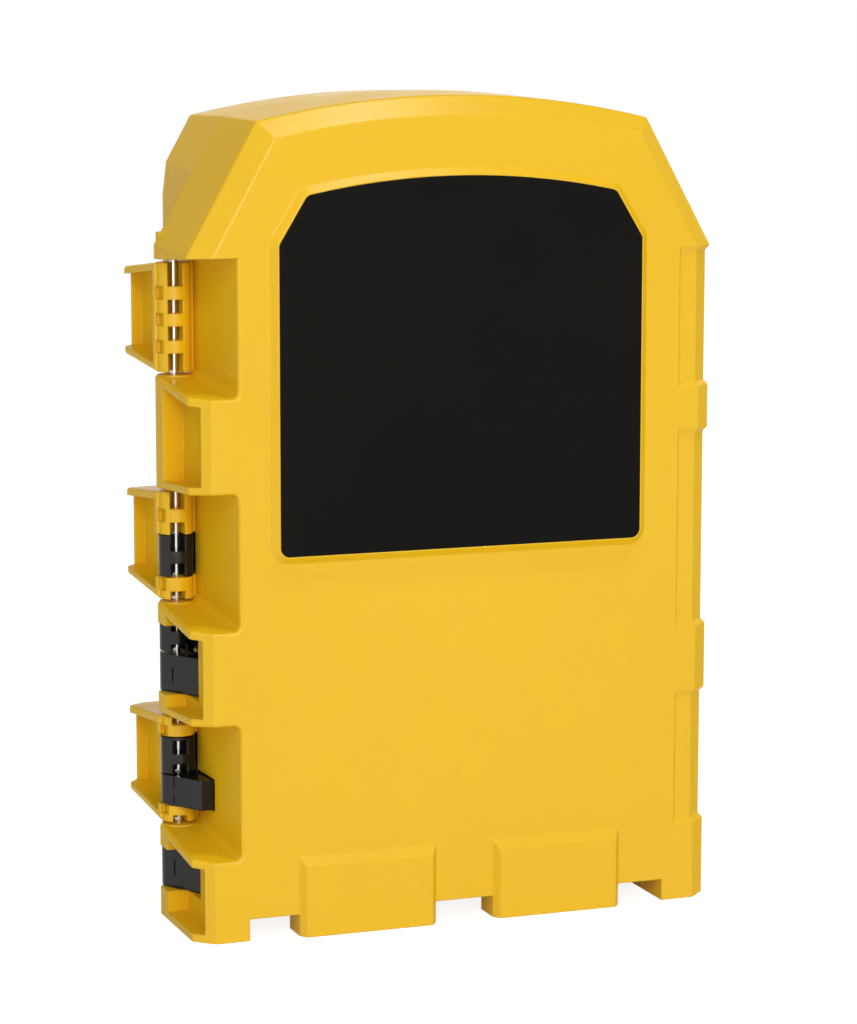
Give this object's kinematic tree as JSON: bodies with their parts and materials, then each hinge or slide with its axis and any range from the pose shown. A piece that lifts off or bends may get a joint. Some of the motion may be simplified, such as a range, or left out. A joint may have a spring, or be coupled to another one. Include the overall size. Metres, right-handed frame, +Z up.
{
  "type": "drill bit case",
  "caption": "Upright clamshell case for drill bits, with finger-jointed hinge blocks on a steel rod, swinging inner racks, side latches and a framed front panel.",
  "frame": {"origin": "centre of the footprint on the surface that the case stands on, on the parting plane of its two halves", "axes": "+Z up, +X from the hinge to the latches, +Y from the lid to the base"},
  "size_m": [0.2117, 0.104, 0.3129],
  "materials": {
    "yellow_shell": "fine-grained moulded yellow plastic",
    "yellow_latch": "moulded yellow plastic",
    "black_label": "black plastic panel, satin gloss",
    "bright_rod": "bright drawn steel",
    "black_leaf": "glossy black plastic",
    "black_rack": "black plastic",
    "plated_screw": "zinc-plated steel",
    "drill_steel": "dark oxide steel with ground edges",
    "masonry_steel": "sand-blasted steel with carbide tips",
    "spade_steel": "ground steel",
    "bit_steel": "satin tool steel"
  },
  "bodies": {
    "base": {"base_shell": "yellow_shell", "hinge_rod": "bright_rod", "latch_pins": "bright_rod", "base_socket_rack": "black_rack", "base_clip_rack": "black_rack", "base_rack_screws": "plated_screw", "small_twist_drills": "drill_steel", "large_twist_drills": "drill_steel"},
    "rear_rack": {"rear_leaf": "black_leaf", "spade_bits": "spade_steel"},
    "front_rack": {"front_leaf": "black_leaf", "cross_tip_bits": "bit_steel", "square_tip_bits": "bit_steel", "star_tip_bits": "bit_steel"},
    "lid": {"lid_shell": "yellow_shell", "label_panel": "black_label", "lid_socket_rack": "black_rack", "lid_clip_rack": "black_rack", "lid_rack_screws": "plated_screw", "masonry_bits": "masonry_steel"},
    "lower_latch_body": {"lower_latch": "yellow_latch"},
    "upper_latch_body": {"upper_latch": "yellow_latch"}
  },
  "joints": [
    {"name": "rear_rack_hinge", "type": "hinge", "parent": "base", "child": "rear_rack", "pos_m": [-0.0968, 0, 0.15], "axis": [0, 0, -1], "range_deg": [0, 40]},
    {"name": "front_rack_hinge", "type": "hinge", "parent": "rear_rack", "child": "front_rack", "pos_m": [-0.0968, 0, 0.15], "axis": [0, 0, -1], "range_deg": [0, 40]},
    {"name": "lid_hinge", "type": "hinge", "parent": "front_rack", "child": "lid", "pos_m": [-0.0968, 0, 0.15], "axis": [0, 0, -1], "range_deg": [0, 100]},
    {"name": "lower_latch_pivot", "type": "hinge", "parent": "base", "child": "lower_latch_body", "pos_m": [0.1029, 0.013, 0.0563], "axis": [0, 0, 1], "range_deg": [0, 100]},
    {"name": "upper_latch_pivot", "type": "hinge", "parent": "base", "child": "upper_latch_body", "pos_m": [0.1029, 0.013, 0.2276], "axis": [0, 0, 1], "range_deg": [0, 100]}
  ]
}
